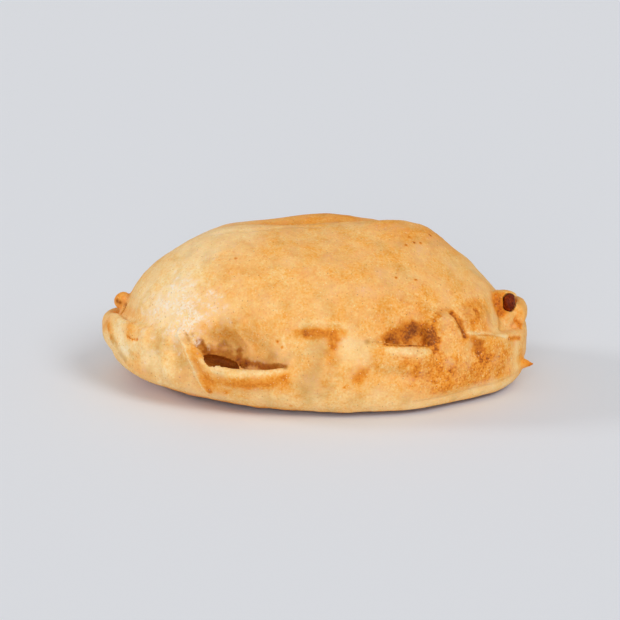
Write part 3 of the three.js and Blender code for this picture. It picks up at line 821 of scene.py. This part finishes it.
# The thin edge that lifted off the stone is charred underneath, and darkened further as painted shade: the
# dark line where the crust meets the floor.
charred_and_shaded_edge = ease(-outward[:, 2], *CHARRED_AND_SHADED_FACING) * ease(CHARRED_AND_SHADED_HEIGHT - place[:, 2], 0, 0.8)
keep_layer("browning_and_painted_light", browning_and_painted_light + 0.5 * charred_and_shaded_edge)
# A little flour clings everywhere but on the scorched places, thicker here and there.
dusted = np.maximum(0, 0.03 + 0.12 * rough_field(9, 3, seed=5)) * (1 - ease(layers["brown_and_painted_light"], 0.08, 0.26))
keep_layer("flour", np.clip(layers["flour"] + dusted, 0, 1))
# Painted shade from the marks in creases, holes and hollows, plus a dull tone that varies at random.
keep_layer("painted_shade_and_dull", np.clip(layers["painted_shade_and_dull"] + 0.3 * rough_field(7, 3, seed=6), 0, 1))
keep_layer("coarse", coarse)
bpy.context.view_layer.update()
print("triangles:", len(skin.loop_triangles))

# %% [markdown]
# ## The crust's finish
#
# Baked dough goes from cream through straw and gold to brown as it dries and browns, so one ramp of those
# colours serves the whole crust, read at a vertex's browning plus a fine mottling; that browning also holds
# painted shade in creases, holes and under the crust, and painted highlights and painted light where it is
# lowered. Flour lies on top as a patchy dusting, recesses are darkened with painted shade in a duller,
# greener tone that also varies a little at random, and there are pale grains of semolina and dark specks of
# bran. The grain and the specks are node groups, because the bead of filling wears the grain too.

# %% Helpers for nodes
def linear(*rgb):
    """A display colour, 0 to 255, as the linear colour that Blender works in."""
    shares = [v / 255 for v in rgb]
    return (*(s / 12.92 if s <= 0.04045 else ((s + 0.055) / 1.055) ** 2.4 for s in shares), 1)


def node(tree, kind, inputs=None, **settings):
    """Adds a node. An input that is a socket is linked, and any other is a value."""
    made = tree.nodes.new(kind)
    for name, value in settings.items():
        setattr(made, name, value)
    for name, value in (inputs or {}).items():
        if isinstance(value, bpy.types.NodeSocket):
            tree.links.new(value, made.inputs[name])
        else:
            made.inputs[name].default_value = value
    return made


def calc(tree, operation, *values, clamp=False):
    inputs = dict(enumerate(values))
    return node(tree, "ShaderNodeMath", inputs, operation=operation, use_clamp=clamp).outputs[0]


def blend(tree, factor, a, b, kind="MIX"):
    """Mixes two colours."""
    mixed = node(tree, "ShaderNodeMix", data_type="RGBA", blend_type=kind, clamp_factor=True)
    for index, value in ((0, factor), (6, a), (7, b)):
        if isinstance(value, bpy.types.NodeSocket):
            tree.links.new(value, mixed.inputs[index])
        else:
            mixed.inputs[index].default_value = value
    return mixed.outputs[2]


def ramp(tree, factor, stops):
    """A colour ramp through (position, colour) stops."""
    made = node(tree, "ShaderNodeValToRGB", {"Fac": factor})
    elements = made.color_ramp.elements
    while len(elements) < len(stops):
        elements.new(0.5)
    for element, (position, colour) in zip(elements, stops):
        element.position = position
        element.color = colour
    return made.outputs["Color"]


def group(name, inputs, outputs):
    """An empty node group with named float inputs and outputs, and the nodes at its two ends."""
    tree = bpy.data.node_groups.new(name, "ShaderNodeTree")
    for label, value in inputs.items():
        socket = tree.interface.new_socket(label, in_out="INPUT", socket_type="NodeSocketFloat")
        socket.default_value = value
    for label in outputs:
        tree.interface.new_socket(label, in_out="OUTPUT", socket_type="NodeSocketFloat")
    return tree, tree.nodes.new("NodeGroupInput").outputs, tree.nodes.new("NodeGroupOutput").inputs


def in_millimetres(tree):
    """Object coordinates in millimetres."""
    where = node(tree, "ShaderNodeTexCoord").outputs["Object"]
    return node(tree, "ShaderNodeVectorMath", {0: where, "Scale": 1 / MM}, operation="SCALE").outputs[0]


# %% Two node groups
GRAIN_SIZES = ((6.0, 0.5), (2.2, 0.7), (0.95, 1.3))


def grain_group():
    """Mottling of three sizes, round zero, and the height of the finest."""
    tree, given, result = group("grain", {"Size": 1.0}, ["Mottle", "Height"])
    where = in_millimetres(tree)
    total = None
    for size, amount in GRAIN_SIZES:
        scale = calc(tree, "DIVIDE", 1 / size, given["Size"])
        cloud = {"Vector": where, "Scale": scale, "Detail": 2.0}
        spread = node(tree, "ShaderNodeTexNoise", cloud).outputs["Fac"]
        part = calc(tree, "MULTIPLY", calc(tree, "SUBTRACT", spread, 0.5), 2 * amount)
        total = part if total is None else calc(tree, "ADD", total, part)
    tree.links.new(total, result["Mottle"])
    tree.links.new(spread, result["Height"])
    return tree


def speck_group():
    """Scattered dots: one cell in so many holds a dot of a radius. Both sizes are in millimetres."""
    tree, given, result = group("specks", {"Spacing": 2.0, "Radius": 0.3, "Share": 0.3}, ["Mask"])
    scale = calc(tree, "DIVIDE", 1.0, given["Spacing"])
    cells = node(tree, "ShaderNodeTexVoronoi", {"Vector": in_millimetres(tree), "Scale": scale})
    away = calc(tree, "MULTIPLY", cells.outputs["Distance"], given["Spacing"])
    chance = node(tree, "ShaderNodeSeparateColor", {"Color": cells.outputs["Color"]}).outputs[0]
    inside = calc(tree, "MULTIPLY", calc(tree, "SUBTRACT", given["Radius"], away), 5.0, clamp=True)
    chosen = calc(tree, "LESS_THAN", chance, given["Share"])
    tree.links.new(calc(tree, "MULTIPLY", inside, chosen), result["Mask"])
    return tree


GRAIN_NODES, SPECK_NODES = grain_group(), speck_group()


def placed(tree, nodes, **inputs):
    """Places a node group in a material, sets its inputs and gives its outputs."""
    made = tree.nodes.new("ShaderNodeGroup")
    made.node_tree = nodes
    for name, value in inputs.items():
        made.inputs[name].default_value = value
    return made.outputs


# %% The crust's material
CRUST_TONES = [
    (0.00, linear(253, 234, 201)),
    (0.18, linear(251, 219, 162)),
    (0.34, linear(248, 202, 130)),
    (0.48, linear(244, 182, 98)),
    (0.62, linear(239, 160, 58)),
    (0.76, linear(228, 137, 28)),
    (0.90, linear(202, 112, 18)),
    (1.00, linear(160, 82, 10)),
]
# The duller, greener tone that the painted shade multiplies in.
PAINTED_SHADE_AND_DULL_TONE = linear(174, 162, 96)
FLOUR_TONE = linear(246, 228, 202)
SEMOLINA_TONE = linear(255, 230, 178)
TOASTED_TONE = linear(206, 122, 42)
BRAN_TONE = linear(112, 62, 20)
SEMOLINA = dict(Spacing=1.3, Radius=0.36, Share=0.34)
TOASTED = dict(Spacing=1.45, Radius=0.5, Share=0.42)
BRAN = dict(Spacing=2.1, Radius=0.34, Share=0.34)


def layer_value(tree, name):
    return node(tree, "ShaderNodeAttribute", attribute_name=name).outputs["Fac"]


def crust_material():
    made = bpy.data.materials.new("baked crust")
    made.use_nodes = True
    tree = made.node_tree
    shader = tree.nodes["Principled BSDF"]
    coarse = layer_value(tree, "coarse")
    grain = placed(tree, GRAIN_NODES, Size=1.0)
    mottle = calc(tree, "MULTIPLY", grain["Mottle"], calc(tree, "MULTIPLY_ADD", coarse, 0.17, 0.09))
    # The browning includes the painted shade and painted highlights of the marks and the painted shade under
    # the crust.
    tone = calc(tree, "ADD", layer_value(tree, "browning_and_painted_light"), mottle)
    colour = ramp(tree, tone, CRUST_TONES)
    # Painted shade: this layer darkens recesses towards the duller, greener tone.
    painted_shade_and_dull = calc(tree, "MULTIPLY", layer_value(tree, "painted_shade_and_dull"), 0.9)
    colour = blend(tree, painted_shade_and_dull, colour, PAINTED_SHADE_AND_DULL_TONE, "MULTIPLY")
    patchy = calc(tree, "MULTIPLY_ADD", grain["Mottle"], 2.0, 1.0)
    dusting = calc(tree, "MULTIPLY", layer_value(tree, "flour"), patchy, clamp=True)
    colour = blend(tree, dusting, colour, FLOUR_TONE)
    semolina = placed(tree, SPECK_NODES, **SEMOLINA)["Mask"]
    in_the_open = calc(tree, "MULTIPLY_ADD", painted_shade_and_dull, -0.55, 0.44)
    colour = blend(tree, calc(tree, "MULTIPLY", semolina, in_the_open), colour, SEMOLINA_TONE)
    toasted = placed(tree, SPECK_NODES, **TOASTED)["Mask"]
    toasted = calc(tree, "MULTIPLY", toasted, calc(tree, "MULTIPLY", coarse, 0.42))
    colour = blend(tree, toasted, colour, TOASTED_TONE)
    bran = placed(tree, SPECK_NODES, **BRAN)["Mask"]
    bran = calc(tree, "MULTIPLY", bran, calc(tree, "MULTIPLY_ADD", coarse, 0.3, 0.34))
    colour = blend(tree, bran, colour, BRAN_TONE)
    tree.links.new(colour, shader.inputs["Base Color"])
    height = calc(tree, "ADD", calc(tree, "MULTIPLY", semolina, 0.5), grain["Height"])
    bump = node(tree, "ShaderNodeBump", {"Height": height, "Strength": 0.7, "Distance": 0.35 * MM})
    tree.links.new(bump.outputs["Normal"], shader.inputs["Normal"])
    shader.inputs["Roughness"].default_value = 0.72
    shader.inputs["Specular IOR Level"].default_value = 0.3
    shader.inputs["Subsurface Weight"].default_value = 0.15
    shader.inputs["Subsurface Radius"].default_value = (1.0, 0.5, 0.22)
    shader.inputs["Subsurface Scale"].default_value = 1.6 * MM
    return made


skin.materials.clear()
skin.materials.append(crust_material())
skin.polygons.foreach_set("use_smooth", [True] * len(skin.polygons))
dough.name = "crust_skin"
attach(dough, "root")
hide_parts("crust")

# %% [markdown]
# ## The bead of filling
#
# A drop of sauce boiled out at the right tip and burnt to a dark, shiny bead. It is a ball pulled a little
# out of round by noise, with a clear coat for the glaze.

# %% Model the bead
def bead():
    bm = bmesh.new()
    bmesh.ops.create_icosphere(bm, subdivisions=5, radius=1)
    for vertex in bm.verts:
        vertex.co *= 1 + 0.1 * noise.fractal(vertex.co * 1.7, 1.0, 2.0, 3)
    size = Matrix.Diagonal((*BEAD["half_size"], 1))
    turned = Matrix.Rotation(math.radians(BEAD["tilt"]), 4, "Y")
    bmesh.ops.transform(bm, matrix=Matrix.Translation(BEAD["centre"]) @ turned @ size, verts=bm.verts)
    return reshaped(bm, lambda p: p * MM + np.array(INTO_FRAME), "filling_drop")


def bead_material():
    made = bpy.data.materials.new("burnt filling")
    made.use_nodes = True
    tree = made.node_tree
    shader = tree.nodes["Principled BSDF"]
    mottle = placed(tree, GRAIN_NODES, Size=0.5)["Mottle"]
    tone = calc(tree, "MULTIPLY_ADD", mottle, 0.5, 0.4)
    colour = ramp(tree, tone, [(0, linear(54, 14, 2)), (0.5, linear(118, 38, 3)), (1, linear(186, 84, 14))])
    tree.links.new(colour, shader.inputs["Base Color"])
    shader.inputs["Roughness"].default_value = 0.5
    shader.inputs["Specular IOR Level"].default_value = 0.1
    shader.inputs["Coat Weight"].default_value = 0.05
    shader.inputs["Coat Roughness"].default_value = 0.25
    return made


drop = bead()
drop.data.materials.append(bead_material())
drop.data.polygons.foreach_set("use_smooth", [True] * len(drop.data.polygons))
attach(drop, "root")
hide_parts("filling_bead")

# %% [markdown]
# ## The studio
#
# The calzone lies on a wide pale sheet in an even pale surround. Three broad suns light it: a low one in
# front, for the crimp, and one from each side, so that soft shadows fall to the right and to the left.

# %% Floor, light and camera
FLOOR_HALF = 4.0
CAMERA = {"elevation": 18, "distance": 920, "lens": 120, "sensor": 36, "aim": (-3.1, 0, 30.6)}
SUNS = {
    "front sun": dict(azimuth=-98, height=20, strength=0.97, spread=35),
    "right sun": dict(azimuth=-45, height=42, strength=0.92, spread=25),
    "left sun": dict(azimuth=172, height=24, strength=0.7, spread=14),
}


def floor():
    bm = bmesh.new()
    bmesh.ops.create_grid(bm, x_segments=1, y_segments=1, size=FLOOR_HALF)
    made = reshaped(bm, lambda p: p, "floor")
    finish = bpy.data.materials.new("pale sheet")
    finish.use_nodes = True
    shader = finish.node_tree.nodes["Principled BSDF"]
    shader.inputs["Base Color"].default_value = (0.815, 0.838, 0.885, 1)
    shader.inputs["Roughness"].default_value = 0.9
    shader.inputs["Specular IOR Level"].default_value = 0.1
    made.data.materials.append(finish)
    return made


floor()
world = bpy.data.worlds.new("studio")
bpy.context.scene.world = world
world.use_nodes = True
world.node_tree.nodes["Background"].inputs["Color"].default_value = (0.99, 0.98, 0.97, 1)
world.node_tree.nodes["Background"].inputs["Strength"].default_value = 0.45
for name, sun in SUNS.items():
    light = bpy.data.lights.new(name, "SUN")
    light.energy = sun["strength"]
    light.angle = math.radians(sun["spread"])
    lamp = bpy.data.objects.new(name, light)
    lamp.rotation_euler = (0, math.radians(90 - sun["height"]), math.radians(sun["azimuth"]))
    bpy.context.scene.collection.objects.link(lamp)

lens = bpy.data.cameras.new("camera")
lens.lens = CAMERA["lens"]
lens.sensor_width = CAMERA["sensor"]
camera = bpy.data.objects.new("camera", lens)
bpy.context.scene.collection.objects.link(camera)
raised = math.radians(CAMERA["elevation"])
looks = Vector((0, math.cos(raised), -math.sin(raised)))
camera.location = Vector(CAMERA["aim"]) * MM + INTO_FRAME - looks * CAMERA["distance"] * MM
camera.rotation_euler = looks.to_track_quat("-Z", "Y").to_euler()
bpy.context.scene.camera = camera
bpy.context.scene.view_settings.view_transform = "Standard"
